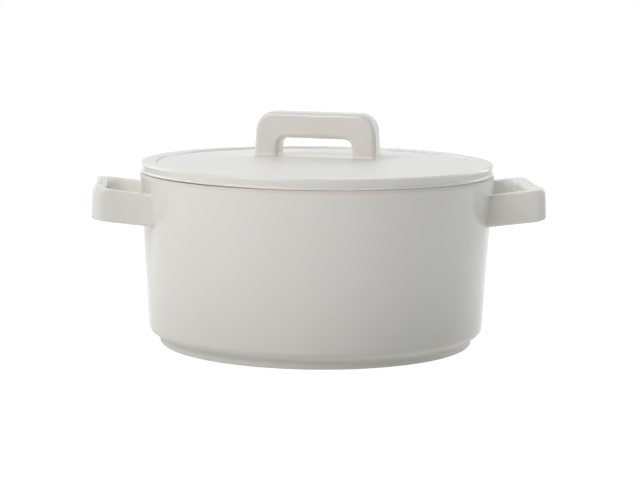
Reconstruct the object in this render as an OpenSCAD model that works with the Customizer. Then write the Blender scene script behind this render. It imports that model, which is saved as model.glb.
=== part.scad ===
// Round covered casserole in white glazed porcelain: a dish on a foot ring, two strap
// handles luted to its wall, and a lid that drops in and carries a bridge handle.
//
// Millimetres. Z is up and z = 0 is the flat of the foot ring. X runs through the two
// side handles, -Y is the front, and the origin is under the centre of the dish.

/* [Dish] */
// outer diameter of the wall at the rim
rim_d = 226.4; // [180:0.1:280]
// height of the rim's flat, where the lid sits
dish_h = 109; // [70:0.5:150]
// outward lean of the wall from the vertical
wall_draft = 3.4; // [0:0.1:8]
// thickness of the wall
wall_t = 5.5; // [4:0.1:9]
// thickness of the floor inside the foot ring
floor_t = 6; // [4:0.1:10]
// rounding where the wall turns under to the foot
corner_r = 5.5; // [2:0.1:12]
// fillet between wall and floor inside
bowl_r = 14; // [6:0.5:30]
// rounding of the rim's outer edge
rim_out_r = 2.3; // [0.5:0.1:2.5]
// rounding of the rim's inner edge
rim_in_r = 1.2; // [0.5:0.1:2]

/* [Foot ring] */
// how far the foot ring stands in from the line of the wall
foot_inset = 6.4; // [3:0.1:20]
// drop from the underside of the corner to the flat of the foot
foot_h = 6.6; // [3:0.1:12]
// width of the foot ring
foot_w = 6; // [4:0.1:12]
// height of the hollow under the floor
foot_hollow = 4.8; // [2:0.1:8]
// rounding of the foot ring's edges
foot_r = 1.3; // [0.5:0.1:2]

/* [Lid] */
// how far the lid's edge stands in from the rim
lid_inset = 0.6; // [0:0.1:3]
// height of the lid's edge above the seat
edge_h = 7; // [4:0.1:12]
// width of the raised band round the lid's edge
band_w = 9; // [4:0.1:15]
// step from the band down to the crown
band_step = 1.4; // [0.5:0.1:3]
// rise of the crown from the step to the middle
crown_h = 4.3; // [0:0.1:12]
// thickness of the crown
crown_t = 5.2; // [4:0.1:8]
// rounding of the lid's upper edge
lid_top_r = 1.8; // [0.5:0.1:3]
// rounding of the lid's lower edge
lid_low_r = 1.8; // [0.5:0.1:2]
// depth of the locating flange below the seat
flange_h = 7.5; // [4:0.5:14]
// thickness of the locating flange
flange_t = 4.6; // [3:0.1:7]
// rounding of the flange's lower edges
flange_r = 1.2; // [0.5:0.1:2]
// taper of the flange's outer face towards its lower edge
flange_taper = 0.6; // [0:0.1:1.5]
// fillet between the flange and the underside of the crown
under_r = 3; // [1:0.1:6]
// clearance between the flange and the inside of the wall at the seat
flange_gap = 1.4; // [0.8:0.1:3]

/* [Lid handle] */
// length of the handle at its feet
grip_foot_l = 80.6; // [50:0.1:110]
// length of the handle at the top, measured to the unrounded corners
grip_top_l = 76.6; // [50:0.1:110]
// height of the handle's top above the middle of the crown
grip_h = 28.3; // [18:0.1:45]
// thickness of the bar across the top
grip_bar = 16.6; // [8:0.1:24]
// length of the finger hole at the crown
hole_foot_l = 49; // [30:0.1:80]
// length of the finger hole at the top
hole_top_l = 47.2; // [30:0.1:80]
// depth of the handle front to back at the crown
grip_foot_d = 17.6; // [12:0.1:30]
// depth of the handle front to back at the top
grip_top_d = 15; // [10:0.1:28]
// rounding of the two top corners
grip_corner_r = 11.5; // [5:0.5:16]
// rounding of the finger hole's corners
hole_corner_r = 5.5; // [2:0.5:8]
// rounding of the long edges
grip_edge_r = 2.4; // [1:0.1:6]
// spread of the blend at the crown
grip_blend_r = 2.6; // [1:0.1:5]
// angle of the handle from the line of the side handles, as the lid was set down
lid_turn = -18; // [-90:1:90]

/* [Side handles] */
// how far a side handle reaches out beyond the rim
ear_reach = 29.5; // [15:0.5:50]
// width of a side handle at its end, outside to outside
ear_tip_w = 84; // [50:0.5:110]
// width of a side handle where it leaves the wall
ear_root_w = 84.5; // [50:0.5:110]
// height of the strap
ear_h = 20; // [12:0.1:30]
// thickness of the strap at its lower edge
ear_t = 9.8; // [6:0.1:16]
// lean of the strap's outer face, taken off its upper edge
ear_lean = 1.7; // [0:0.1:3]
// lean of the strap's inner face, taken off its upper edge
ear_lean_in = 0.6; // [0:0.1:2]
// drop from the rim's flat to the strap's middle at the end of the handle
ear_drop = 16.4; // [12:0.1:60]
// rise of the strap from the wall to its end
ear_rise = 6.6; // [0:0.1:15]
// rounding of the strap's outer corners, seen from above
ear_corner_r = 6.5; // [4:0.5:20]
// rounding of the strap's inner corners, seen from above
ear_in_r = 9; // [2:0.5:14]
// rounding of the strap's long edges
ear_edge_r = 2.2; // [1:0.1:5]
// spread of the blend at the wall
ear_blend_r = 2.8; // [1:0.1:5]

/* [Hidden] */
// ring steps, corner steps of a profile, and corner steps of a strap's section
ring_n = 180;
arc_n = 8;
sec_n = 6;
// shallowest distance at which a blend still spreads, so that it never runs out to nothing
blend_min = 0.35;

// the wall's outer face is the line r = wall_r0 + z * lean, the inner face lies wall_t inside
lean = tan(wall_draft);
wall_r0 = rim_d / 2 - dish_h * lean;
in_r0 = wall_r0 - wall_t;
floor_z = foot_hollow + floor_t;
foot_ro = wall_r0 - foot_inset;
foot_ri = foot_ro - foot_w;

// the lid
lid_r = rim_d / 2 - lid_inset;
band_z = dish_h + edge_h;
step_z = band_z - band_step;
step_r = lid_r - band_w - band_step;
crown_z = step_z + crown_h;
flange_ro = in_r0 + dish_h * lean - flange_gap;
flange_ri = flange_ro - flange_t;
flange_z = dish_h - flange_h;
grip_z = crown_z + grip_h;

// the side handles
ear_x = rim_d / 2 + ear_reach;
ear_tip_z = dish_h - ear_drop;
// the strap starts this far out, where its whole width is still inside the wall's face
ear_root_x = sqrt(pow(wall_r0 + (ear_tip_z - ear_h) * lean, 2)
    - pow(ear_root_w / 2 + ear_blend_r, 2)) - 2;
ear_slope = tan(ear_rise);

// ---------- shared functions ----------

function unit(v) = v / norm(v);
function wall_r(z) = wall_r0 + z * lean;
function crown(r) = crown_z - crown_h * pow(min(r, step_r) / step_r, 2);

// the crown's profile from radius a to radius b in n steps
function crown_line(a, b, n) = [for (i = [0:n]) let (r = a + (b - a) * i / n) [r, crown(r)]];

// points of an arc in a profile
function arc(cx, cy, r, a0, a1, n = arc_n) =
    [for (i = [0:n]) let (a = a0 + (a1 - a0) * i / n) [cx + r * cos(a), cy + r * sin(a)]];

// radius of the centre of an arc of radius r at height z that touches the line r0 + z * lean;
// side 1 lies inside the line and side -1 outside it
function touch(r0, z, r, side) =
    r0 + (z - side * r * sin(wall_draft)) * lean - side * r * cos(wall_draft);

// a corner c between p and q, rounded to radius r
function rounded(p, c, q, r, n) =
    let (u = unit(p - c), v = unit(q - c), a = acos(u * v), o = c + unit(u + v) * r / sin(a / 2),
         s = c + u * r / tan(a / 2) - o, e = c + v * r / tan(a / 2) - o, w = 180 - a)
    [for (i = [0:n]) o + (s * sin(w * (1 - i / n)) + e * sin(w * i / n)) / sin(w)];

// offset and normal of each point of a rounded rectangle with half sizes a and b
function section(a, b, r) =
    [for (k = [0:3], i = [0:sec_n]) let (t = 90 * (k + i / sec_n), c = [cos(t), sin(t)])
        [[(k == 0 || k == 3 ? 1 : -1) * (a - r), (k < 2 ? 1 : -1) * (b - r)] + r * c, c]];

// outward spread of a blend of radius r at distance q from the surface it runs into
function spread(q, r) =
    q >= r ? 0 : r - sqrt(r * r - pow(r - max(q, blend_min), 2));

// a closed solid through rings of points, each ring with the same count
module loft(rings) {
    m = len(rings[0]);
    n = len(rings);
    polyhedron(points = [for (g = rings) each g], faces = concat(
        [[for (j = [0:m - 1]) j]],
        [[for (j = [m - 1:-1:0]) (n - 1) * m + j]],
        [for (i = [0:n - 2], j = [0:m - 1]) let (k = (j + 1) % m)
            each [[i * m + j, (i + 1) * m + k, i * m + k],
                  [i * m + j, (i + 1) * m + j, (i + 1) * m + k]]]));
}

// ---------- dish ----------

// wall, floor and foot ring in one casting
module dish() {
    low_z = foot_h + corner_r;
    low_r = touch(wall_r0, low_z, corner_r, 1);
    rim_z = dish_h - rim_out_r;
    lip_z = dish_h - rim_in_r;
    bowl_z = floor_z + bowl_r;
    color([0.93, 0.92, 0.89])
    rotate_extrude($fn = ring_n) polygon(concat(
        [[0, foot_hollow]],
        arc(foot_ri - foot_r, foot_hollow - foot_r, foot_r, 90, 0, 4),
        arc(foot_ri + foot_r, foot_r, foot_r, 180, 270, 4),
        arc(foot_ro - foot_r, foot_r, foot_r, -90, 0, 4),
        arc(foot_ro + foot_r, foot_h - foot_r, foot_r, 180, 90, 4),
        arc(low_r, low_z, corner_r, -90, -wall_draft),
        arc(touch(wall_r0, rim_z, rim_out_r, 1), rim_z, rim_out_r, -wall_draft, 90),
        arc(touch(in_r0, lip_z, rim_in_r, -1), lip_z, rim_in_r, 90, 180 - wall_draft),
        arc(touch(in_r0, bowl_z, bowl_r, 1), bowl_z, bowl_r, -wall_draft, -90, 12),
        [[0, floor_z]]));
}

// ---------- side handles ----------

// the cone of the wall's outer face, which the straps are cut to
module wall_cone() {
    cylinder(h = dish_h, r1 = wall_r(0), r2 = wall_r(dish_h), $fn = ring_n);
}

// stations along one side of the strap, from one root round the end to the other root
function ear_path(x, tip_y, root_y, r) =
    let (s = [ear_root_x, root_y], c = [x, tip_y],
         half = concat([for (i = [0:12]) s + (c - s) * 0.3 * i / 12], [s + (c - s) * 0.48],
                       rounded(s, c, [x, 0], r, 8)))
    concat(half, [[x, 0]], [for (i = [len(half) - 1:-1:0]) [half[i][0], -half[i][1]]]);

function ear_ring(o, p) =
    let (n = unit(o - p), t = norm(o - p) / 2, mid = (o + p) / 2)
    [for (g = section(t, ear_h / 2, ear_edge_r))
        let (u = g[0][0], v = g[0][1], up = v / ear_h + 0.5,
             cut = (u > 0 ? -ear_lean : ear_lean_in) * up * abs(u) / t,
             xy = mid + n * (u + cut),
             z = ear_tip_z + v + (xy[0] - ear_x) * ear_slope,
             d = spread(norm(xy) - wall_r(z), ear_blend_r))
        [xy[0] + n[0] * g[1][0] * d, xy[1] + n[1] * g[1][0] * d, z + g[1][1] * d]];

// strap on the +X side
module ear() {
    outer = ear_path(ear_x, ear_tip_w / 2, ear_root_w / 2, ear_corner_r);
    inner = ear_path(ear_x - ear_t, ear_tip_w / 2 - ear_t, ear_root_w / 2 - ear_t, ear_in_r);
    difference() {
        loft([for (i = [0:len(outer) - 1]) ear_ring(outer[i], inner[i])]);
        wall_cone();
    }
}

module side_handle_left() {
    color([0.90, 0.89, 0.86]) mirror([1, 0, 0]) ear();
}

module side_handle_right() {
    color([0.90, 0.89, 0.86]) ear();
}

// ---------- lid ----------

// edge band, crown and locating flange in one casting
module lid() {
    half = band_step / 2;
    top_z = band_z - lid_top_r;
    under_z = crown(flange_ri) - crown_t;
    color([0.95, 0.94, 0.91])
    rotate_extrude($fn = ring_n) polygon(concat(
        crown_line(0, step_r, 12),
        arc(step_r, step_z + half, half, -60, 0, 3),
        arc(step_r + band_step, band_z - half, half, 150, 90, 3),
        arc(lid_r - lid_top_r, top_z, lid_top_r, 90, 0),
        arc(lid_r - lid_low_r, dish_h + lid_low_r, lid_low_r, 0, -90),
        [[flange_ro, dish_h]],
        arc(flange_ro - flange_taper - flange_r, flange_z + flange_r, flange_r, 0, -90, 4),
        arc(flange_ri + flange_r, flange_z + flange_r, flange_r, -90, -180, 4),
        arc(flange_ri - under_r, under_z - under_r, under_r, 0, 90, 4),
        [for (p = crown_line(flange_ri - 2 * under_r, 0, 10)) p - [0, crown_t]]));
}

// ---------- lid handle ----------

// the lid's crown as a solid, which the handle's feet are cut to
module crown_cut() {
    rotate_extrude($fn = ring_n)
        polygon(concat([[0, dish_h], [step_r, dish_h]], crown_line(step_r, 0, 12)));
}

// stations along one side of the bridge, from one foot over the top to the other foot
function grip_path(foot_x, top_x, top_z, r) =
    let (c = [top_x, top_z], f = [foot_x, crown_z],
         s = f + (f - c) * 4 / (top_z - crown_z),
         half = concat([for (i = [0:11]) s + (c - s) * 8.4 / (top_z - s[1]) * i / 11],
                       rounded(s, c, [0, top_z], r, 8)))
    concat(half, [[0, top_z]], [for (i = [len(half) - 1:-1:0]) [-half[i][0], half[i][1]]]);

function grip_ring(o, p) =
    let (n = unit(o - p), t = norm(o - p) / 2, mid = (o + p) / 2,
         b = (grip_foot_d + (grip_top_d - grip_foot_d) * (mid[1] - crown_z) / grip_h) / 2)
    [for (g = section(t, b, grip_edge_r))
        let (xz = mid + n * g[0][0], y = g[0][1],
             d = spread(xz[1] - crown(norm([xz[0], y])), grip_blend_r))
        [xz[0] + n[0] * g[1][0] * d, y + g[1][1] * d, xz[1] + n[1] * g[1][0] * d]];

module lid_handle() {
    outer = grip_path(grip_foot_l / 2, grip_top_l / 2, grip_z, grip_corner_r);
    inner = grip_path(hole_foot_l / 2, hole_top_l / 2, grip_z - grip_bar, hole_corner_r);
    color([0.95, 0.94, 0.91]) rotate(lid_turn)
    difference() {
        loft([for (i = [0:len(outer) - 1]) grip_ring(outer[i], inner[i])]);
        crown_cut();
    }
}

dish();
side_handle_left();
side_handle_right();
lid();
lid_handle();
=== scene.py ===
import math

import bpy
import numpy as np
from mathutils import Matrix, Vector
from mathutils.bvhtree import BVHTree


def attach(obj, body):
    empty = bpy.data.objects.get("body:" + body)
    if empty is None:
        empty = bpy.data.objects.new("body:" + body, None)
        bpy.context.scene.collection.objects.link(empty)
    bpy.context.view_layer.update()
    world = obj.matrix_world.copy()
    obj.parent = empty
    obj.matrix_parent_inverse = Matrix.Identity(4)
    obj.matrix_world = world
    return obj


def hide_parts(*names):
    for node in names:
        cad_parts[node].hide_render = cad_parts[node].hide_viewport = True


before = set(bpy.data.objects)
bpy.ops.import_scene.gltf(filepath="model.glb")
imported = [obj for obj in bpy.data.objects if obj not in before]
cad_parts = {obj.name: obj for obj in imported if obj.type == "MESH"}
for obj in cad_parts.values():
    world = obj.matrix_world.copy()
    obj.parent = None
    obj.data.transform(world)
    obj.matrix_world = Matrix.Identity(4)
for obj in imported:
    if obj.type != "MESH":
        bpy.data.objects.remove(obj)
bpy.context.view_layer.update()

MM = 0.001

# ---------- camera ----------

CAM_AT = Vector((-0.08924, -1.24681, 0.23495))
CAM_AIM = Vector((0.00292, 0.00819, 0.06364))
CAM_ROLL = 0.011
CAM_LENS = 110.35
CAM_SENSOR = 36.0
CAM_SHIFT_X = 0.0
CAM_SHIFT_Y = 0.0
CAM_CLIP = (0.05, 50.0)

# the photograph's frame
W, H = 640, 480
L = max(W, H)


def make_camera():
    """Aims the camera, rolls it, and gives the rotation from its axes to the world's."""
    forward = (CAM_AIM - CAM_AT).normalized()
    side = forward.cross(Vector((0, 0, 1))).normalized()
    up = side.cross(forward)
    c, s = math.cos(CAM_ROLL), math.sin(CAM_ROLL)
    turned = Matrix((side * c + up * s, up * c - side * s, -forward)).transposed()
    data = bpy.data.cameras.new("camera")
    data.sensor_fit = "AUTO"
    data.sensor_width = CAM_SENSOR
    data.lens = CAM_LENS
    data.shift_x, data.shift_y = CAM_SHIFT_X, CAM_SHIFT_Y
    data.clip_start, data.clip_end = CAM_CLIP
    cam = bpy.data.objects.new("camera", data)
    cam.matrix_world = Matrix.Translation(CAM_AT) @ turned.to_4x4()
    bpy.context.scene.collection.objects.link(cam)
    bpy.context.scene.camera = cam
    return turned


CAM_TURN = make_camera()

# ---------- image points, in the photograph's pixels ----------

POINTS = {
    "lid_left_edge": (139.5, 168.0),
    "lid_right_edge": (492.8, 168.0),
    "seat_line_front": (317.0, 190.6),
    "left_handle_front_top_corner": (95.5, 190.5),
    "left_handle_back_top_corner": (100.0, 176.5),
    "right_handle_front_top_corner": (546.0, 188.5),
    "right_handle_back_top_corner": (527.0, 175.5),
    "lid_handle_hole": (314.5, 148.0),
    "foot_notch_left": (160.0, 339.0),
    "foot_notch_right": (472.0, 340.0),
    "lid_dimple": (190.5, 161.7),
}


def sight(x, y):
    """Direction from the camera through a point of the picture."""
    return CAM_TURN @ Vector((
        x - W / 2 + CAM_SHIFT_X * L, H / 2 - y + CAM_SHIFT_Y * L, -L * CAM_LENS / CAM_SENSOR
    )).normalized()


def seen_at(points):
    """Picture x, y of points given in metres, one row each."""
    local = (np.asarray(points) - np.array(CAM_AT)) @ np.array(CAM_TURN)
    scale = L * CAM_LENS / CAM_SENSOR / -local[:, 2]
    return np.column_stack([
        local[:, 0] * scale + W / 2 - CAM_SHIFT_X * L,
        H / 2 + CAM_SHIFT_Y * L - local[:, 1] * scale,
    ])


def tree_of(*pieces):
    """A search tree over pieces as they are finished and placed, and their vertices."""
    dg = bpy.context.evaluated_depsgraph_get()
    co, tri = [], []
    for piece in pieces:
        mesh = piece.evaluated_get(dg).to_mesh()
        base = len(co)
        co += [piece.matrix_world @ v.co for v in mesh.vertices]
        mesh.calc_loop_triangles()
        tri += [[base + i for i in t.vertices] for t in mesh.loop_triangles]
    return BVHTree.FromPolygons(co, tri), co


def place(point, carrier):
    """Where the line of sight through an image point meets a carrier, and its normal. A miss
    takes the place nearest the line."""
    tree, co = tree_of(carrier)
    ray = sight(*point)
    hit, normal, _, _ = tree.ray_cast(CAM_AT, ray)
    if hit is None:
        rel = np.array(co) - np.array(CAM_AT)
        off = rel - np.outer(rel @ np.array(ray), np.array(ray))
        vertex = co[int(np.argmin((off**2).sum(1)))]
        hit, normal, _, _ = tree.find_nearest(vertex)
    return hit, normal


# ---------- sizes, as in the part ----------

RIM_D, DISH_H, DRAFT = 226.4, 109.0, math.radians(3.4)
WALL_T, FLOOR_T, CORNER_R, BOWL_R, RIM_IN_R = 5.5, 6.0, 5.5, 14.0, 1.2
FOOT_INSET, FOOT_H, FOOT_W, FOOT_HOLLOW, FOOT_R = 6.4, 6.6, 6.0, 4.8, 1.3

LID_INSET, EDGE_H, BAND_W, BAND_STEP, CROWN_H, CROWN_T = 0.6, 7.0, 9.0, 1.4, 4.3, 5.2
LID_TOP_R, LID_LOW_R = 1.8, 1.8
FLANGE_H, FLANGE_T, FLANGE_R, FLANGE_TAPER, UNDER_R, FLANGE_GAP = 7.5, 4.6, 1.2, 0.6, 3.0, 1.4

GRIP_FOOT_L, GRIP_TOP_L, GRIP_H, GRIP_BAR = 80.6, 76.6, 28.3, 16.6
HOLE_FOOT_L, HOLE_TOP_L, GRIP_FOOT_D, GRIP_TOP_D = 49.0, 47.2, 17.6, 15.0
GRIP_CORNER_R, HOLE_CORNER_R, GRIP_BLEND_R = 11.5, 5.5, 2.6
LID_TURN = math.radians(-18)

EAR_REACH, EAR_TIP_W, EAR_ROOT_W, EAR_H, EAR_T = 29.5, 84.0, 84.5, 20.0, 9.8
EAR_LEAN_IN, EAR_DROP, EAR_RISE = 0.6, 16.4, math.radians(6.6)
EAR_IN_R, EAR_ROOT_BLEND, EAR_SUNK = 9.0, 2.8, 2.0

# finer than the solids, by a millimetre or so: edges and blends as the glaze has rounded
# them, with the strap's upper edges softer outside (TOP) and round the opening (SOFT)
RIM_OUT_R, GRIP_EDGE_R, EAR_CORNER_R, EAR_EDGE_R, EAR_BLEND_R = 1.7, 3.4, 8.0, 2.4, 0.9
EAR_TOP_R, EAR_SOFT_R, EAR_LEAN = 3.0, 4.6, 1.4
# the lip that the lid stands on, how far its edge draws in above it, and the cove between
LIP_R, LIP_COVE_R, LIP_WAIST = 0.6, 0.9, 0.8
WAIST_SHARE, WAIST_UP, SEAT_LIFT = 0.4, 0.4, 0.05
# the cove over the foot, and the depth of the rim's band, left unglazed and painted darker as
# shade under the lid's edge
FOOT_COVE_R, RIM_BARE_AND_SHADE = 3.6, 2.4
# where arcs meet the wall's faces, in degrees below level, a hair past the draft
FACE_TILT = 3.6
# a shallow dent in the crown
DENT_R, DENT_DEPTH = 4.0, 0.14

LEAN = math.tan(DRAFT)
WALL_R0 = RIM_D / 2 - DISH_H * LEAN
IN_R0 = WALL_R0 - WALL_T
FLOOR_Z = FOOT_HOLLOW + FLOOR_T
FOOT_RO = WALL_R0 - FOOT_INSET
FOOT_RI = FOOT_RO - FOOT_W
LID_R = RIM_D / 2 - LID_INSET
BAND_Z = DISH_H + EDGE_H
STEP_Z = BAND_Z - BAND_STEP
STEP_R = LID_R - BAND_W - BAND_STEP
CROWN_Z = STEP_Z + CROWN_H
FLANGE_RO = IN_R0 + DISH_H * LEAN - FLANGE_GAP
FLANGE_RI = FLANGE_RO - FLANGE_T
FLANGE_Z = DISH_H - FLANGE_H
GRIP_Z = CROWN_Z + GRIP_H
EAR_X = RIM_D / 2 + EAR_REACH
EAR_TIP_Z = DISH_H - EAR_DROP
EAR_ROOT_X = math.sqrt(
    (WALL_R0 + (EAR_TIP_Z - EAR_H) * LEAN) ** 2
    - (EAR_ROOT_W / 2 + EAR_ROOT_BLEND) ** 2) - EAR_SUNK
EAR_SLOPE = math.tan(EAR_RISE)

# ---------- profiles and rings ----------


def wall_r(z):
    """Radius of the wall's outer face at a height."""
    return WALL_R0 + z * LEAN


def crown(r):
    """Height of the lid's crown at a radius."""
    return CROWN_Z - CROWN_H * (np.minimum(r, STEP_R) / STEP_R) ** 2


def arc(cx, cz, r, a0, a1, n):
    """The n + 1 points of an arc, from angle a0 to a1 in degrees."""
    a = np.radians(np.linspace(a0, a1, n + 1))
    return np.column_stack([cx + r * np.cos(a), cz + r * np.sin(a)])


def touch(r0, z, r, side):
    """Radius of the middle, at height z, of an arc that touches the wall's face inside (1) or
    outside (-1). r0 is the face's radius at height 0."""
    return r0 + (z - side * r * math.sin(DRAFT)) * LEAN - side * r * math.cos(DRAFT)


# how a profile's stretches are split: from which length, how near their ends, up to which
# share of the length, and how far apart in between
SPLIT_FROM, SPLIT_NEAR, SPLIT_SHARE, SPLIT_STEP = 1.0, (0.15, 0.5, 1.3), 0.35, 3.0


def refined(profile):
    """Splits long stretches, closely beside their ends, so that smooth shading stays true."""
    out = [profile[0]]
    for a, b in zip(profile[:-1], profile[1:]):
        run = float(np.hypot(*(b - a)))
        splits = [d for d in SPLIT_NEAR if d < run * SPLIT_SHARE]
        if run > SPLIT_FROM and splits:
            *close, last = splits
            count = max(2, int((run - 2 * last) / SPLIT_STEP) + 2)
            inner = list(np.linspace(last, run - last, count))
            for d in close + inner + [run - d for d in reversed(close)]:
                out.append(a + (b - a) * d / run)
        out.append(b)
    return np.array(out)


def tube_faces(n, m):
    """Faces over n rings of m points each, and a fan at both ends round one point more."""
    faces = []
    for i in range(n - 1):
        for j in range(m):
            k = (j + 1) % m
            faces.append((i * m + j, i * m + k, (i + 1) * m + k, (i + 1) * m + j))
    first, last, end = n * m, n * m + 1, (n - 1) * m
    faces += [(first, (j + 1) % m, j) for j in range(m)]
    faces += [(last, end + j, end + (j + 1) % m) for j in range(m)]
    return faces


def make_mesh(name, co, faces):
    """A smooth shaded object from points in millimetres."""
    mesh = bpy.data.meshes.new(name)
    mesh.from_pydata((np.asarray(co) * MM).tolist(), [], faces)
    mesh.polygons.foreach_set("use_smooth", [True] * len(mesh.polygons))
    mesh.update()
    obj = bpy.data.objects.new(name, mesh)
    bpy.context.scene.collection.objects.link(obj)
    return obj


def rows_of(items, key, width, kind=float):
    """One value of all vertices, normals or edges of a mesh, a row each."""
    flat = np.empty(len(items) * width, kind)
    items.foreach_get(key, flat)
    return flat.reshape(-1, width)


def revolved(name, profile, steps, warp):
    """Turns an open profile that starts and ends on the axis into a closed mesh."""
    ring = profile[1:-1]
    a = np.linspace(0, 2 * math.pi, steps, endpoint=False)
    co = np.stack([
        ring[:, None, 0] * np.cos(a), ring[:, None, 0] * np.sin(a), ring[:, None, 1] + 0 * a
    ], axis=2).reshape(-1, 3)
    co = np.vstack([co, [0, 0, profile[0][1]], [0, 0, profile[-1][1]]])
    return make_mesh(name, warp(co), tube_faces(len(ring), steps))


def lofted(name, rings, warp, turn=0.0, flip=False):
    """Joins rings of points, closes both ends, and turns the whole about the axis."""
    co = np.vstack([rings.reshape(-1, 3), rings[0].mean(0), rings[-1].mean(0)])
    faces = tube_faces(*rings.shape[:2])
    if flip:
        faces = [f[::-1] for f in faces]
    c, s = math.cos(turn), math.sin(turn)
    co = np.column_stack([co[:, 0] * c - co[:, 1] * s, co[:, 0] * s + co[:, 1] * c, co[:, 2]])
    return make_mesh(name, warp(co), faces)


# ---------- unevenness of a cast and fired body ----------

# slow waves, each with a weight, its turns of x, y and z in radians per metre, and its share
# of the phase. One even field moves pieces that were fired together, so they stay together.
SIDE_WAVES = (
    (0.5, (31, 17, 23), 1.0),
    (0.3, (-41, 67, 53), 2.1),
    (0.2, (97, 89, -71), 3.7),
)
RISE_WAVES = ((0.6, (29, -37, 0), 1.0), (0.4, (83, 59, 0), 1.7))
FULL_R = 60.0  # the sideways shift grows up to this radius

# how far each body shifts sideways and upwards, in mm, and where its waves start
DISH_SHIFT, DISH_RISE, DISH_PHASE = 0.12, 0.06, 0.6
LID_SHIFT, LID_RISE, LID_PHASE = 0.10, 0.09, 2.3
# the heights over which the rise comes in, and on the dish fades out again
DISH_RISE_IN, DISH_RISE_OUT, LID_RISE_IN = (12.0, 42.0), (104.0, 94.0), (110.5, 114.5)

# the lid has warped a little in the fire: its edge stands up by this much round this bearing
WARP_LIFT, WARP_AT, WARP_SPAN = 0.6, math.radians(-142), math.radians(30)


def waves(co, table, phase):
    metres = co * MM
    return sum(w * np.sin(metres @ np.array(k, float) + share * phase) for w, k, share in table)


def ramp(value, start, end):
    return np.clip((value - start) / (end - start), 0, 1)


def swell(co, amount, phase):
    """Shifts points towards the axis, by up to twice the amount, so nothing leaves the box."""
    r = np.hypot(co[:, 0], co[:, 1])
    side = waves(co, SIDE_WAVES, phase) - 1
    out = co.copy()
    out[:, :2] += co[:, :2] * (side * amount * ramp(r, 0, FULL_R) / np.maximum(r, 1))[:, None]
    return out


def warp_dish(co):
    out = swell(co, DISH_SHIFT, DISH_PHASE)
    where = ramp(co[:, 2], *DISH_RISE_IN) * ramp(co[:, 2], *DISH_RISE_OUT)
    out[:, 2] += waves(co, RISE_WAVES, DISH_PHASE) * DISH_RISE * where
    return out


def warp_lid(co):
    out = swell(co, LID_SHIFT, LID_PHASE)
    drop = waves(co, RISE_WAVES, LID_PHASE) - 1
    out[:, 2] += drop * LID_RISE * ramp(co[:, 2], *LID_RISE_IN)
    bearing = np.arctan2(co[:, 1], co[:, 0]) - WARP_AT
    bearing = (bearing + math.pi) % (2 * math.pi) - math.pi
    edge = ramp(np.hypot(co[:, 0], co[:, 1]), STEP_R, LID_R)
    out[:, 2] += WARP_LIFT * edge * np.exp(-(bearing / WARP_SPAN) ** 2)
    return out


# ---------- dish ----------


def dish_profile():
    """The dish's section, from the middle of its underside out and over to its floor."""
    low_z = FOOT_H + CORNER_R
    rim_z, lip_z, bowl_z = DISH_H - RIM_OUT_R, DISH_H - RIM_IN_R, FLOOR_Z + BOWL_R
    corner_x = touch(WALL_R0, low_z, CORNER_R, 1)
    # the cove over the foot meets the wall's corner in one smooth bend
    apart, both_r = FOOT_RO + FOOT_COVE_R - corner_x, CORNER_R + FOOT_COVE_R
    cove_z = low_z - math.sqrt(both_r**2 - apart**2)
    turn = -math.degrees(math.acos(apart / both_r))
    return refined(np.vstack([
        [[0, FOOT_HOLLOW]],
        arc(FOOT_RI - FOOT_R, FOOT_HOLLOW - FOOT_R, FOOT_R, 90, 0, 8),
        arc(FOOT_RI + FOOT_R, FOOT_R, FOOT_R, 180, 270, 8),
        arc(FOOT_RO - FOOT_R, FOOT_R, FOOT_R, -90, 0, 8),
        arc(FOOT_RO + FOOT_COVE_R, cove_z, FOOT_COVE_R, 180, 180 + turn, 12),
        arc(corner_x, low_z, CORNER_R, turn, -FACE_TILT, 16),
        arc(touch(WALL_R0, rim_z, RIM_OUT_R, 1), rim_z, RIM_OUT_R, -FACE_TILT, 90, 12),
        arc(touch(IN_R0, lip_z, RIM_IN_R, -1), lip_z, RIM_IN_R, 90, 180 - FACE_TILT, 10),
        arc(touch(IN_R0, bowl_z, BOWL_R, 1), bowl_z, BOWL_R, -FACE_TILT, -90, 24),
        [[0, FLOOR_Z]],
    ]))


# ---------- lid ----------


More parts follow.
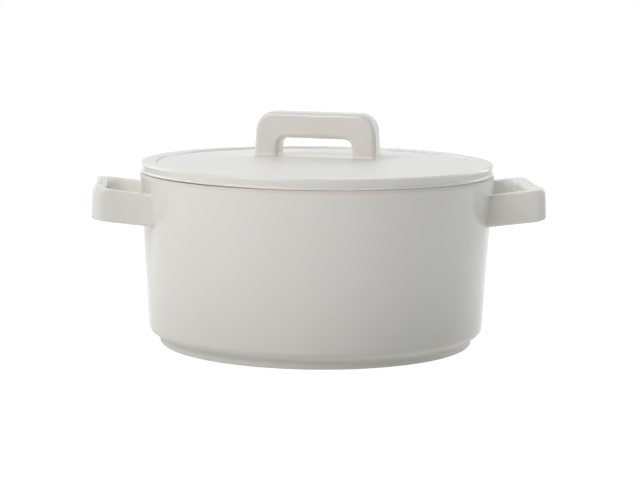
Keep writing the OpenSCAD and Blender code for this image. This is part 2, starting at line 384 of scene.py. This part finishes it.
def lid_profile():
    """The lid's section, from the top of its crown out and under to the middle again."""
    half = BAND_STEP / 2
    under_z = float(crown(FLANGE_RI)) - CROWN_T
    # the cove over the lip runs into the lip's nose in one smooth bend
    nose_x, nose_z = LID_R - LIP_R, DISH_H + LIP_R + SEAT_LIFT
    cove_x = LID_R - LIP_WAIST + LIP_COVE_R
    cove_z = nose_z + math.sqrt((LIP_R + LIP_COVE_R) ** 2 - (cove_x - nose_x) ** 2)
    turn = math.degrees(math.atan2(cove_z - nose_z, cove_x - nose_x))
    top_r = np.append(np.linspace(0, STEP_R - 1.2, 56), [STEP_R - 0.5, STEP_R - 0.2])
    under_r = np.linspace(FLANGE_RI - 2 * UNDER_R, 0, 34)
    edge = refined(np.vstack([
        arc(STEP_R, STEP_Z + half, half, -72, -10, 6),
        arc(STEP_R + BAND_STEP, BAND_Z - half, half, 160, 90, 6),
        arc(LID_R - LID_TOP_R, BAND_Z - LID_TOP_R, LID_TOP_R, 90, 0, 12),
        [[LID_R - LIP_WAIST * WAIST_SHARE, (BAND_Z + DISH_H) / 2 + WAIST_UP]],
        arc(cove_x, cove_z, LIP_COVE_R, 180, 180 + turn, 8),
        arc(nose_x, nose_z, LIP_R, turn, -90, 12)[1:],
        [[FLANGE_RO, DISH_H]],
        arc(FLANGE_RO - FLANGE_TAPER - FLANGE_R, FLANGE_Z + FLANGE_R, FLANGE_R, 0, -90, 8),
        arc(FLANGE_RI + FLANGE_R, FLANGE_Z + FLANGE_R, FLANGE_R, -90, -180, 8),
        arc(FLANGE_RI - UNDER_R, under_z - UNDER_R, UNDER_R, 0, 90, 10),
    ]))
    return np.vstack([
        np.column_stack([top_r, crown(top_r)]),
        edge,
        np.column_stack([under_r, crown(under_r) - CROWN_T]),
    ])


# ---------- handles ----------

# where a strap meets the surface it is luted to: steps tried along its straight start, and
# the share of it over which the strap's length is measured
ROOT_STEPS, ROOT_AHEAD = 240, 0.02
# how far under the surface lie the strap's end, the row before the fillet, and the fillet,
# and how far out the first two lie: a share of the fillet's spread, and mm beyond it
END_DEPTH, SKIN_DEPTH, FILLET_DEPTH = 2.0, 0.5, 0.02
END_SPREAD, SKIN_BEYOND = 0.6, 0.3
FILLET_ROWS, FILLET_PULL = 12, 0.42
CLEAR_ROWS = (0.12, 0.3, 0.5, 0.7, 0.88, 1.0)  # shares of the straight start beyond the fillet
# the straight start, as a share of the side handle's arm and in mm on the lid handle's leg;
# the steps of the corners; the points on each arm or leg and along the middle
EAR_START, EAR_BENDS, EAR_ROWS = 0.34, 22, (5, 7)
GRIP_START, GRIP_BENDS, GRIP_ROWS = 8.4, 26, (4, 8)
GRIP_SUNK = 4.0  # how far the lid handle's legs go on below the top of the crown


def rounded(p, c, q, r, n):
    """The n + 1 points of the arc of radius r that rounds corner c between p and q."""
    u, v = (p - c) / np.linalg.norm(p - c), (q - c) / np.linalg.norm(q - c)
    a = math.acos(float(u @ v))
    o = c + (u + v) / np.linalg.norm(u + v) * r / math.sin(a / 2)
    s, e, w = c + u * r / math.tan(a / 2) - o, c + v * r / math.tan(a / 2) - o, math.pi - a
    i = np.linspace(0, 1, n + 1)[:, None]
    return o + (s * np.sin(w * (1 - i)) + e * np.sin(w * i)) / math.sin(w)


SEC_ARC, SEC_FLATS = 10, (5, 7)  # steps in a section's corners, points on its flats


def section():
    """Signs and corner directions of a rounded rectangle's points: u = su * (a - r) + cu * r."""
    rows = []
    signs = [(1, 1), (-1, 1), (-1, -1), (1, -1)]
    for k in range(4):
        su, sv = signs[k]
        for i in range(SEC_ARC + 1):
            t = math.pi / 2 * (k + i / SEC_ARC)
            rows.append((su, sv, math.cos(t), math.sin(t)))
        nu, nv = signs[(k + 1) % 4]
        t = math.pi / 2 * (k + 1)
        count = SEC_FLATS[k % 2]
        for i in range(1, count + 1):
            f = 0.5 - 0.5 * math.cos(math.pi * i / (count + 1))
            rows.append((su + (nu - su) * f, sv + (nv - sv) * f, math.cos(t), math.sin(t)))
    return np.array(rows).T


SEC = section()


def across(outer, inner):
    """The direction from a strap's inner path to its outer one, and half its thickness."""
    n = outer - inner
    t = np.linalg.norm(n, axis=-1, keepdims=True)
    return n / t, t[..., 0] / 2


def ear_at(outer, inner):
    """Points of the strap's surface and the outward direction there, for each path pair."""
    su, sv, cu, cv = SEC
    n, t = across(outer, inner)
    # the upper edges are softer, most of all the one round the opening
    soft = np.where(su > 0, EAR_TOP_R, EAR_SOFT_R) - EAR_EDGE_R
    r = EAR_EDGE_R + soft * np.abs(su) * np.clip(sv, 0, 1)
    u = su * (t - r) + cu * r
    v = sv * (EAR_H / 2 - r) + cv * r
    up = v / EAR_H + 0.5
    cut = np.where(u > 0, -EAR_LEAN, EAR_LEAN_IN) * up * np.abs(u) / t
    xy = (outer + inner) / 2 + n * (u + cut)[..., None]
    z = EAR_TIP_Z + v + (xy[..., 0] - EAR_X) * EAR_SLOPE
    out = np.concatenate([n * (cu + 0 * u)[..., None], (cv + 0 * u)[..., None]], axis=-1)
    return np.concatenate([xy, z[..., None]], axis=-1), out


def grip_at(outer, inner):
    """The same for the lid handle, whose path lies in the plane y = 0."""
    su, sv, cu, cv = SEC
    n, t = across(outer, inner)
    mid = (outer + inner) / 2
    b = (GRIP_FOOT_D + (GRIP_TOP_D - GRIP_FOOT_D) * (mid[..., 1] - CROWN_Z) / GRIP_H) / 2
    u = su * (t - GRIP_EDGE_R) + cu * GRIP_EDGE_R
    v = sv * (b - GRIP_EDGE_R) + cv * GRIP_EDGE_R
    xz = mid + n * u[..., None]
    out = np.stack([n[..., 0] * cu, cv + 0 * u, n[..., 1] * cu], axis=-1)
    return np.stack([xz[..., 0], v, xz[..., 1]], axis=-1), out


def wall_field(p):
    """Distance outside the wall's face, and its normal."""
    r = np.hypot(p[..., 0], p[..., 1])
    normal = np.stack([p[..., 0] / r, p[..., 1] / r, 0 * r - LEAN], axis=-1)
    normal /= np.linalg.norm(normal, axis=-1, keepdims=True)
    return (r - wall_r(p[..., 2])) * math.cos(DRAFT), normal


def crown_field(p):
    """Distance above the lid's crown, and its normal."""
    r = np.hypot(p[..., 0], p[..., 1])
    slope = 2 * CROWN_H / STEP_R**2
    normal = np.stack([p[..., 0] * slope, p[..., 1] * slope, 0 * r + 1], axis=-1)
    length = np.linalg.norm(normal, axis=-1)
    return (p[..., 2] - crown(r)) / length, normal / length[..., None]


def blended(at, field, o0, o1, i0, i1, high, low):
    """Rows of a strap from under the surface it is luted to, over a fillet, to its clear part.
    o0 to o1 and i0 to i1 are the straight starts of the outer and inner path. The fillet
    takes `high` of the strap and spreads by `low` over the surface."""
    m = SEC.shape[1]

    def at_t(t):
        t = np.broadcast_to(t, (t.shape[0], m))[..., None]
        return at(o0 + (o1 - o0) * t, i0 + (i1 - i0) * t)

    grid = np.linspace(0, 1, ROOT_STEPS)
    pos, _ = at_t(grid[:, None])
    gap, _ = field(pos)
    t0 = np.array([np.interp(0, gap[:, j], grid) for j in range(m)])
    base, out = at_t(t0[None, :])
    ahead, _ = at_t(t0[None, :] + ROOT_AHEAD)
    speed = np.linalg.norm(ahead - base, axis=-1) / ROOT_AHEAD
    p0, _ = at_t(t0[None, :] + high / speed)
    normal = field(base)[1]
    side = out - (out * normal).sum(-1, keepdims=True) * normal
    side /= np.linalg.norm(side, axis=-1, keepdims=True)

    def settle(p, depth):
        for _ in range(2):
            d, nrm = field(p)
            p = p - nrm * (d + depth)[..., None]
        return p

    p2 = settle(base + side * low, FILLET_DEPTH)
    a, b = base + (p0 - base) * FILLET_PULL, base + (p2 - base) * FILLET_PULL
    out_rows = [settle(base + side * low * END_SPREAD, END_DEPTH),
                settle(base + side * (low + SKIN_BEYOND), SKIN_DEPTH)]
    for i in range(FILLET_ROWS + 1):
        s = i / FILLET_ROWS
        out_rows.append(
            p2 * (1 - s) ** 3 + 3 * b * s * (1 - s) ** 2 + 3 * a * s * s * (1 - s) + p0 * s**3)
    # onwards to the end of the straight start, which all points reach together
    t_start = t0 + high / speed[0]
    for f in CLEAR_ROWS:
        out_rows.append(at_t((t_start + (1 - t_start) * f)[None, :])[0])
    return np.concatenate(out_rows)


def spaced(a, b, n, ends=False):
    """n points from a to b, without a, and without b unless asked for."""
    f = np.linspace(0, 1, n + 1)[1:] if ends else np.linspace(0, 1, n + 2)[1:-1]
    return [a + (b - a) * i for i in f]


def run_rings(at, pairs):
    """Rings of a strap at pairs of outer and inner path points."""
    outer = np.array([p[0] for p in pairs])[:, None, :]
    inner = np.array([p[1] for p in pairs])[:, None, :]
    m = SEC.shape[1]
    return at(np.repeat(outer, m, 1), np.repeat(inner, m, 1))[0]


def strap(at, field, blend_r, outer, inner, radii, bends, counts, mirror):
    """Rings of a whole strap. outer and inner each give a path's start, the end of its
    straight start, its corner and its middle, where the other half goes on, mirrored in one
    axis. radii, bends and counts are the corners' radii and steps, and the points on the leg
    and the top. Mirrored points keep their order round the section."""
    (so, oo, co, mo), (si, ii, ci, mi) = outer, inner
    corner_o = rounded(so, co, mo, radii[0], bends)
    corner_i = rounded(si, ci, mi, radii[1], bends)
    leg, top = counts
    pairs = list(zip(spaced(oo, corner_o[0], leg), spaced(ii, corner_i[0], leg)))
    pairs += list(zip(corner_o, corner_i))
    pairs += list(zip(spaced(corner_o[-1], mo, top, True), spaced(corner_i[-1], mi, top, True)))
    half = np.concatenate([
        blended(at, field, so, oo, si, ii, blend_r, blend_r), run_rings(at, pairs)])
    back = half[:-1][::-1].copy()
    back[..., mirror] *= -1
    return np.concatenate([half, back])


def ear_rings():
    """Rings of the side handle on the +X side, in the plan's x and y."""
    def arm(inset):
        s = np.array([EAR_ROOT_X, EAR_ROOT_W / 2 - inset])
        c = np.array([EAR_X - inset, EAR_TIP_W / 2 - inset])
        return s, s + (c - s) * EAR_START, c, np.array([EAR_X - inset, 0.0])

    return strap(ear_at, wall_field, EAR_BLEND_R, arm(0), arm(EAR_T),
                 (EAR_CORNER_R, EAR_IN_R), EAR_BENDS, EAR_ROWS, 1)


def grip_rings():
    """Rings of the lid handle, in the elevation's x and z."""
    def leg(foot_x, top_x, top_z):
        c, f = np.array([top_x, top_z]), np.array([foot_x, CROWN_Z])
        s = f + (f - c) * GRIP_SUNK / (top_z - CROWN_Z)
        return s, s + (c - s) * GRIP_START / (top_z - s[1]), c, np.array([0.0, top_z])

    return strap(grip_at, crown_field, GRIP_BLEND_R,
                 leg(GRIP_FOOT_L / 2, GRIP_TOP_L / 2, GRIP_Z),
                 leg(HOLE_FOOT_L / 2, HOLE_TOP_L / 2, GRIP_Z - GRIP_BAR),
                 (GRIP_CORNER_R, HOLE_CORNER_R), GRIP_BENDS, GRIP_ROWS, 0)


# ---------- glaze ----------

BEND_MOST, BEND_PASSES = 0.6, 4  # the sharpest bend that counts, and how often it is evened


def mark_bend(obj):
    """Stores how sharply the surface bends at each vertex, in 1/mm: above 0 on edges, below
    0 in hollows. The glaze runs thin on the one and gathers in the other."""
    mesh = obj.data
    co = rows_of(mesh.vertices, "co", 3) / MM
    normals = rows_of(mesh.vertex_normals, "vector", 3)
    ends = rows_of(mesh.edges, "vertices", 2, int)
    along = co[ends[:, 1]] - co[ends[:, 0]]
    turned = normals[ends[:, 1]] - normals[ends[:, 0]]
    bend = (turned * along).sum(1) / np.maximum((along * along).sum(1), 1e-6)
    value, count = np.zeros(len(co)), np.zeros(len(co))
    for c in (0, 1):
        np.add.at(value, ends[:, c], bend)
        np.add.at(count, ends[:, c], 1)
    value /= np.maximum(count, 1)
    for _ in range(BEND_PASSES):
        total = value.copy()
        for c in (0, 1):
            np.add.at(total, ends[:, c], value[ends[:, 1 - c]])
        value = total / (count + 1)
    layer = mesh.attributes.new("bend", "FLOAT", "POINT")
    layer.data.foreach_set("value", np.clip(value, -BEND_MOST, BEND_MOST).astype(np.float32))


class Tree:
    """Short hand for building the nodes of a material or world."""

    def __init__(self, data):
        self.data = data
        data.use_nodes = True
        self.nodes, self.links = data.node_tree.nodes, data.node_tree.links
        self.nodes.clear()

    def add(self, kind, **sockets):
        """A node, with its inputs or settings by name. A value that is an output is linked."""
        node = self.nodes.new(kind)
        for key, value in sockets.items():
            if key in node.inputs:
                self.feed(node.inputs[key], value)
            else:
                setattr(node, key, value)
        return node

    def feed(self, socket, value):
        if hasattr(value, "is_output"):
            self.links.new(value, socket)
        else:
            socket.default_value = value

    def noise(self, where, scale, detail=2.0, rough=0.5):
        return self.add("ShaderNodeTexNoise", Vector=where, Scale=scale, Detail=detail,
                        Roughness=rough).outputs["Fac"]

    def span(self, value, a, b, c=0.0, d=1.0):
        """Goes smoothly from c to d as the value goes from a to b."""
        node = self.nodes.new("ShaderNodeMapRange")
        node.interpolation_type = "SMOOTHSTEP"
        for i, v in enumerate((value, a, b, c, d)):
            self.feed(node.inputs[i], v)
        return node.outputs["Result"]

    def math(self, op, a, b=0.0, c=0.0):
        node = self.nodes.new("ShaderNodeMath")
        node.operation = op
        for i, v in enumerate((a, b, c)):
            self.feed(node.inputs[i], v)
        return node.outputs[0]

    def mix(self, fac, a, b):
        node = self.nodes.new("ShaderNodeMix")
        node.data_type = "RGBA"
        self.feed(node.inputs[0], fac)
        self.feed(node.inputs[6], a)
        self.feed(node.inputs[7], b)
        return node.outputs[2]

    def blend(self, fac, a, b):
        """Mixes the shaders of two nodes."""
        node = self.nodes.new("ShaderNodeMixShader")
        for socket, value in zip(node.inputs, (fac, a.outputs[0], b.outputs[0])):
            self.feed(socket, value)
        return node

    def from_axis(self, xyz):
        """Distance from the Z axis of a SeparateXYZ node's point."""
        return self.math("SQRT", self.math(
            "ADD", self.math("POWER", xyz.outputs["X"], 2.0),
            self.math("POWER", xyz.outputs["Y"], 2.0)))

    def end(self, kind, shader):
        """Links a shader to the output, and gives the finished material or world."""
        self.links.new(shader.outputs[0], self.add(kind).inputs["Surface"])
        return self.data


# glaze colours, linear
GLAZE = (0.900, 0.884, 0.842, 1)
GLAZE_WARM = (0.890, 0.863, 0.806, 1)
GLAZE_THIN = (0.935, 0.922, 0.890, 1)
GLAZE_POOL = (0.870, 0.858, 0.812, 1)
# bare body, darker than the glaze: on the dish's rim band these colours are also painted shade
# under the lid's edge
BISCUIT_AND_SHADE = (0.860, 0.825, 0.762, 1)
BISCUIT_DARK_AND_SHADE = (0.800, 0.755, 0.682, 1)
SPECK = (0.42, 0.36, 0.27, 1)

# noises, each with its scale per metre, detail and roughness
DRIFT, CLOUD = (11.0, 3.0), (95.0, 4.0, 0.6)
PEEL, RIPPLE, SMEAR = (520.0, 2.0), (42.0, 1.5, 0.4), (27.0, 3.0)
GRAIN, WANDER = (900.0, 6.0, 0.7), (130.0, 3.0)
SPECK_SCALE, SPECK_EDGE, SPECK_RARE, SPECK_SHOWS = 210.0, (0.10, 0.055), (0.975, 0.985), 0.4

# roughness of clean and of smeared glaze, what bare biscuit adds to it, and the span of the
# normal's Z over which a surface comes to face up
GLAZE_ROUGH, BISCUIT_ROUGH, FACES_UP = (0.06, 0.11), 0.68, (0.25, 0.95)
# heights of orange peel and grain against the ripple's 1, and the bump's strength and depth
PEEL_HEIGHT, GRAIN_HEIGHT, BUMP, BUMP_DEPTH = 0.035, 0.12, 0.22, 0.0012
# refraction, and light scattered under the surface: weight, reach by colour, scale in metres
IOR, SCATTER, SCATTER_REACH, SCATTER_SCALE = 1.52, 0.25, (1.0, 0.85, 0.62), 0.0028


def porcelain(name, seed, dulled=0.0, bare=None, foot=0.0):
    """Glossy glaze over a porcelain body. dulled is how much rougher use has made what faces
    up, foot how much rougher the glaze is near the table, and bare(tree, place, here) gives
    where the body is left bare, which on the dish's rim is also painted shade under the lid."""
    t = Tree(bpy.data.materials.new(name))
    place_at = t.add("ShaderNodeTexCoord").outputs["Object"]
    here = t.add("ShaderNodeMapping", Vector=place_at,
                 Location=(seed * 0.37, seed * 0.61, seed * 0.23)).outputs[0]
    bend = t.add("ShaderNodeAttribute", attribute_name="bend").outputs["Fac"]

    # the glaze's tone drifts over the piece, thins on edges and gathers in hollows
    drift = t.span(t.noise(here, *DRIFT), 0.35, 0.68)
    cloud = t.span(t.noise(here, *CLOUD), 0.30, 0.75)
    tone = t.math("MULTIPLY_ADD", drift, 0.75, t.math("MULTIPLY", cloud, 0.25))
    colour = t.mix(tone, GLAZE, GLAZE_WARM)
    thin = t.span(t.math("ADD", bend, t.math("MULTIPLY", cloud, 0.05)), 0.10, 0.48, 0.0, 0.75)
    colour = t.mix(thin, colour, GLAZE_THIN)
    pool = t.span(bend, -0.05, -0.40, 0.0, 0.8)
    colour = t.mix(pool, colour, GLAZE_POOL)

    # a few tiny iron specks under the glaze
    cells = t.add("ShaderNodeTexVoronoi", Vector=here, Scale=SPECK_SCALE)
    rare = t.add("ShaderNodeSeparateColor", Color=cells.outputs["Color"])
    dot = t.math("MULTIPLY", t.span(cells.outputs["Distance"], *SPECK_EDGE),
                 t.span(rare.outputs["Red"], *SPECK_RARE))
    colour = t.mix(t.math("MULTIPLY", dot, SPECK_SHOWS), colour, SPECK)

    # orange peel and slow ripple of the melted surface
    height = t.math("MULTIPLY_ADD", t.noise(here, *PEEL), PEEL_HEIGHT, t.noise(here, *RIPPLE))
    up = t.add("ShaderNodeSeparateXYZ", Vector=t.add("ShaderNodeNewGeometry").outputs["Normal"])
    worn = t.span(up.outputs["Z"], *FACES_UP, 0.0, dulled)
    rough = t.math("ADD", worn, t.span(t.noise(here, *SMEAR), 0.30, 0.75, *GLAZE_ROUGH))

    if foot:
        z = t.add("ShaderNodeSeparateXYZ", Vector=place_at).outputs["Z"]
        near_table = t.span(z, (FOOT_H + CORNER_R) * MM, FOOT_H * MM, 0.0, foot)
        rough = t.math("ADD", rough, near_table)
    if bare:
        # bare body in the biscuit colours, which on the dish's rim also paint the shade under
        # the lid
        bare_and_shaded = bare(t, place_at, here)
        grain = t.noise(here, *GRAIN)
        clay_and_shade = t.mix(t.span(grain, 0.35, 0.75), BISCUIT_AND_SHADE, BISCUIT_DARK_AND_SHADE)
        colour = t.mix(bare_and_shaded, colour, clay_and_shade)
        rough = t.math("MULTIPLY_ADD", bare_and_shaded, BISCUIT_ROUGH, rough)
        gritty = t.math("MULTIPLY", grain, bare_and_shaded)
        height = t.math("MULTIPLY_ADD", gritty, GRAIN_HEIGHT, height)

    bump = t.add("ShaderNodeBump", Height=height, Strength=BUMP, Distance=BUMP_DEPTH)
    shader = t.add("ShaderNodeBsdfPrincipled", **{
        "Base Color": colour,
        "Roughness": rough,
        "Normal": bump.outputs[0],
        "IOR": IOR,
        "Subsurface Weight": SCATTER,
        "Subsurface Radius": SCATTER_REACH,
        "Subsurface Scale": SCATTER_SCALE,
    })
    return t.end("ShaderNodeOutputMaterial", shader)


def bare_and_shaded_dish(t, at, here):
    """The flat of the foot ring and the rim under the lid are wiped clean, with a glaze line
    that wanders a little; the rim's bare band is also painted darker as shade under the lid's
    edge."""
    z = t.add("ShaderNodeSeparateXYZ", Vector=at).outputs["Z"]
    wander = t.math("MULTIPLY_ADD", t.noise(here, *WANDER), 0.0007, 0.00015)
    level = t.math("SUBTRACT", z, wander)
    # the rim's bare band: bare body and painted shade under the lid's edge
    line = (DISH_H - RIM_BARE_AND_SHADE) * MM
    foot = t.span(level, 0.00012, -0.00008)
    return t.math("MAXIMUM", foot, t.span(level, line - 0.0005, line - 0.0001))


def bare_seat(t, at, here):
    """The lid's seat, the narrow flat outside the flange, is wiped clean for firing."""
    xyz = t.add("ShaderNodeSeparateXYZ", Vector=at)
    wander = t.math("MULTIPLY_ADD", t.noise(here, *WANDER), 0.0004, -0.0002)
    reach = t.math("ADD", t.from_axis(xyz), wander)
    seat, rim, flange = DISH_H * MM, (LID_R - LID_LOW_R) * MM, FLANGE_RO * MM
    low = t.span(t.math("SUBTRACT", xyz.outputs["Z"], wander), seat + 0.00025, seat + 0.00005)
    outer = t.span(reach, rim + 0.0002, rim)
    inner = t.span(reach, flange + 0.0002, flange + 0.0004)
    return t.math("MULTIPLY", low, t.math("MULTIPLY", outer, inner))


# ---------- pieces ----------

STEPS = 256  # round the dish and the lid
MIRROR_X = np.array([-1, 1, 1])
dish = revolved("dish_body", dish_profile(), STEPS, warp_dish)
lid = revolved("lid_body", lid_profile()[::-1], STEPS, warp_lid)
rings = ear_rings()
ear_right = lofted("side_handle_right_strap", rings, warp_dish)
ear_left = lofted("side_handle_left_strap", rings * MIRROR_X, warp_dish, flip=True)
grip = lofted("lid_handle_bridge", grip_rings(), warp_lid, turn=LID_TURN)


def dent(obj, point):
    """Sinks a shallow soft dent into a piece where an image point falls on it."""
    hit, normal = place(point, obj)
    co = rows_of(obj.data.vertices, "co", 3)
    away = np.linalg.norm(co - np.array(hit), axis=1) / (DENT_R * MM)
    co -= np.array(normal) * (DENT_DEPTH * MM * np.exp(-away**2))[:, None]
    obj.data.vertices.foreach_set("co", co.ravel())
    obj.data.update()
    return np.array(hit) / MM


dimple = dent(lid, POINTS["lid_dimple"])

# pieces fired together share a seed, and what faces up on the lid is dulled the most
DISH_SEED, LID_SEED, HANDLE_DULL, LID_DULL, FOOT_DULL = 1.0, 3.0, 0.20, 0.34, 0.45
dish_glaze = porcelain("dish_glaze", DISH_SEED, bare=bare_and_shaded_dish, foot=FOOT_DULL)
handle_glaze = porcelain("side_handle_glaze", DISH_SEED, HANDLE_DULL)
lid_glaze = porcelain("lid_glaze", LID_SEED, LID_DULL, bare_seat)
grip_glaze = porcelain("lid_handle_glaze", LID_SEED, LID_DULL)

for piece, body, node, glaze, slot in (
    (dish, "dish", "dish", dish_glaze, "dish_glaze"),
    (ear_left, "dish", "side_handle_left", handle_glaze, "side_handle_glaze"),
    (ear_right, "dish", "side_handle_right", handle_glaze, "side_handle_glaze"),
    (lid, "lid", "lid", lid_glaze, "lid_glaze"),
    (grip, "lid", "lid_handle", grip_glaze, "lid_handle_glaze"),
):
    mark_bend(piece)
    piece.data.materials.append(glaze)
    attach(piece, body)
    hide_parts(node)

# ---------- floor, light ----------

FLOOR_HALF, FLOOR_DROP = 3.0, 0.0002  # metres
# painted shadow on the floor: its colour close to the object and away from it, and the distances
# over which the darkening near the object fades
FLOOR_PAINTED_SHADOW, FLOOR_FAR = (0.30, 0.30, 0.30, 1), (0.85, 0.85, 0.85, 1)
FLOOR_SHADOW_SPAN, FOOT_SPAN = (0.12, 0.26), (0.114, 0.124)
# the little light that the floor gives off, under the foot and beyond it
FOOT_FILL, FLOOR_FILL, FILL_COLOUR = 0.30, 0.23, (0.966, 1.0, 0.962, 1)
# how bright the camera and gloss see it, and by what share
WHITE, FLOOR_GLOW, GLOW_SHARE = (1, 1, 1, 1), 1.18, 0.82


def pale_floor():
    """A white sweep that keeps the object's shadow, darkened round the object by a painted
    shadow. From below it isn't there.
    """
    t = Tree(bpy.data.materials.new("floor_white"))
    rays = t.add("ShaderNodeLightPath")
    seen = t.math("MAXIMUM", rays.outputs["Is Camera Ray"], rays.outputs["Is Glossy Ray"])
    reach = t.from_axis(t.add(
        "ShaderNodeSeparateXYZ", Vector=t.add("ShaderNodeTexCoord").outputs["Object"]))
    # painted shadow: the floor is darker close to the object, also in the light it throws back
    painted_shadow = t.mix(t.span(reach, *FLOOR_SHADOW_SPAN), FLOOR_PAINTED_SHADOW, FLOOR_FAR)
    diffuse = t.add("ShaderNodeBsdfDiffuse", Color=painted_shadow)
    fill = t.add("ShaderNodeEmission", Color=FILL_COLOUR,
                 Strength=t.span(reach, *FOOT_SPAN, FOOT_FILL, FLOOR_FILL))
    lit = t.add("ShaderNodeAddShader")
    t.links.new(diffuse.outputs[0], lit.inputs[0])
    t.links.new(fill.outputs[0], lit.inputs[1])
    glow = t.add("ShaderNodeEmission", Color=WHITE, Strength=FLOOR_GLOW)
    above = t.blend(t.math("MULTIPLY", seen, GLOW_SHARE), lit, glow)
    below = t.add("ShaderNodeNewGeometry").outputs["Backfacing"]
    both = t.blend(below, above, t.add("ShaderNodeBsdfTransparent"))
    return t.end("ShaderNodeOutputMaterial", both)


def make_floor():
    h = FLOOR_HALF
    sheet = bpy.data.meshes.new("floor")
    sheet.from_pydata([(-h, -h, 0), (h, -h, 0), (h, h, 0), (-h, h, 0)], [], [(0, 1, 2, 3)])
    obj = bpy.data.objects.new("floor", sheet)
    obj.location.z = -FLOOR_DROP
    bpy.context.scene.collection.objects.link(obj)
    obj.data.materials.append(pale_floor())
    return obj


floor = make_floor()

WORLD_LIGHT, WORLD_LEVEL = (0.97, 1.0, 0.98, 1), 0.01


def make_world():
    """White to the camera, to gloss and to glass, and almost no light on anything else."""
    t = Tree(bpy.data.worlds.new("studio"))
    rays = t.add("ShaderNodeLightPath")
    seen = t.math("MAXIMUM", rays.outputs["Is Camera Ray"], rays.outputs["Is Glossy Ray"])
    seen = t.math("MAXIMUM", seen, rays.outputs["Is Transmission Ray"])
    light = t.add("ShaderNodeBackground", Color=WORLD_LIGHT, Strength=WORLD_LEVEL)
    white = t.add("ShaderNodeBackground", Color=WHITE, Strength=1.0)
    bpy.context.scene.world = t.end("ShaderNodeOutputWorld", t.blend(seen, light, white))


make_world()

MIDDLE = Vector((0, 0, 0.07))


def softbox(name, turn, rise, away, size, power, colour):
    """A square lamp that faces the object. turn is in degrees from the front towards +X,
    rise in degrees above level, away in metres from the middle."""
    turn, rise = math.radians(turn), math.radians(rise)
    flat = math.cos(rise)
    at = Vector((math.sin(turn) * flat, -math.cos(turn) * flat, math.sin(rise)))
    data = bpy.data.lights.new(name, "AREA")
    data.shape = "RECTANGLE"
    data.size, data.size_y = size
    data.energy = power
    data.color = colour
    obj = bpy.data.objects.new(name, data)
    obj.location = MIDDLE + at * away
    obj.rotation_mode = "QUATERNION"
    obj.rotation_quaternion = (-at).to_track_quat("-Z", "Y")
    bpy.context.scene.collection.objects.link(obj)


softbox("key_front_left", -45, 40, 2.2, (1.4, 1.4), 26.0, (1.0, 0.972, 0.97))
softbox("rear_top", 180, 58, 2.3, (3.6, 2.4), 27.0, (0.86, 0.93, 1.0))
softbox("rear_left", -125, 18, 2.0, (1.2, 1.2), 5.3, (0.945, 0.973, 1.0))
softbox("side_right", 90, 20, 2.0, (1.2, 1.2), 5.4, (0.937, 0.982, 1.0))
softbox("rear_right", 125, 18, 2.0, (1.2, 1.2), 8.2, (0.952, 0.972, 1.0))

bpy.context.scene.view_settings.view_transform = "Standard"

# ---------- image points against what shows ----------


def limb(r, z, side):
    """The point of a level circle that stands at the edge of what the camera sees."""
    x, y = CAM_AT.x / MM, CAM_AT.y / MM
    turn = math.atan2(y, x) + side * math.acos(r / math.hypot(x, y))
    return (r * math.cos(turn), r * math.sin(turn), z)


def near(r, z):
    """The point of a level circle that is nearest to the camera."""
    flat = math.hypot(CAM_AT.x, CAM_AT.y)
    return (r * CAM_AT.x / flat, r * CAM_AT.y / flat, z)


CORNER_SEEN = 25  # degrees round a side handle's corner, where its outline turns


def ear_corner(side, end):
    """The top of a side handle's outer corner."""
    at = arc(EAR_X - EAR_LEAN - EAR_CORNER_R, EAR_TIP_W / 2 - EAR_LEAN - EAR_CORNER_R,
             EAR_CORNER_R, CORNER_SEEN, CORNER_SEEN, 0)[0]
    return (side * at[0], end * at[1], EAR_TIP_Z + EAR_H / 2)


ANCHORS = {
    "lid_left_edge": limb(LID_R, (BAND_Z + DISH_H) / 2, -1),
    "lid_right_edge": limb(LID_R, (BAND_Z + DISH_H) / 2, 1),
    "seat_line_front": near(LID_R, DISH_H),
    "left_handle_front_top_corner": ear_corner(-1, -1),
    "left_handle_back_top_corner": ear_corner(-1, 1),
    "right_handle_front_top_corner": ear_corner(1, -1),
    "right_handle_back_top_corner": ear_corner(1, 1),
    "lid_handle_hole": (0, 0, CROWN_Z + (GRIP_H - GRIP_BAR) / 2),
    "foot_notch_left": limb(FOOT_RO, FOOT_R, -1),
    "foot_notch_right": limb(FOOT_RO, FOOT_R, 1),
    "lid_dimple": tuple(dimple),
}
SIDES = (("object_left", 0, -1), ("object_right", 0, 1),
         ("object_top", 1, -1), ("object_bottom", 1, 1))
SHOWS_BY, SHOWS_TRIES = 0.0004, 4000  # metres short of a vertex, and vertices tried for a side


def report_points():
    """Finds where each thing shows in the picture, edges by vertices that show."""
    bpy.context.view_layer.update()
    tree, co = tree_of(dish, lid, ear_left, ear_right, grip)
    at = seen_at(np.array(co))

    def shows(index):
        ray = co[index] - CAM_AT
        return tree.ray_cast(CAM_AT, ray.normalized(), ray.length - SHOWS_BY)[0] is None

    def extreme(axis, sign):
        order = np.argsort(-sign * at[:, axis])
        return at[next((i for i in order[:SHOWS_TRIES] if shows(int(i))), order[0])]

    for name, axis, sign in SIDES:
        got = float(extreme(axis, sign)[axis])
    for name, at_mm in ANCHORS.items():
        got = seen_at(np.array([at_mm]) * MM)[0]


report_points()
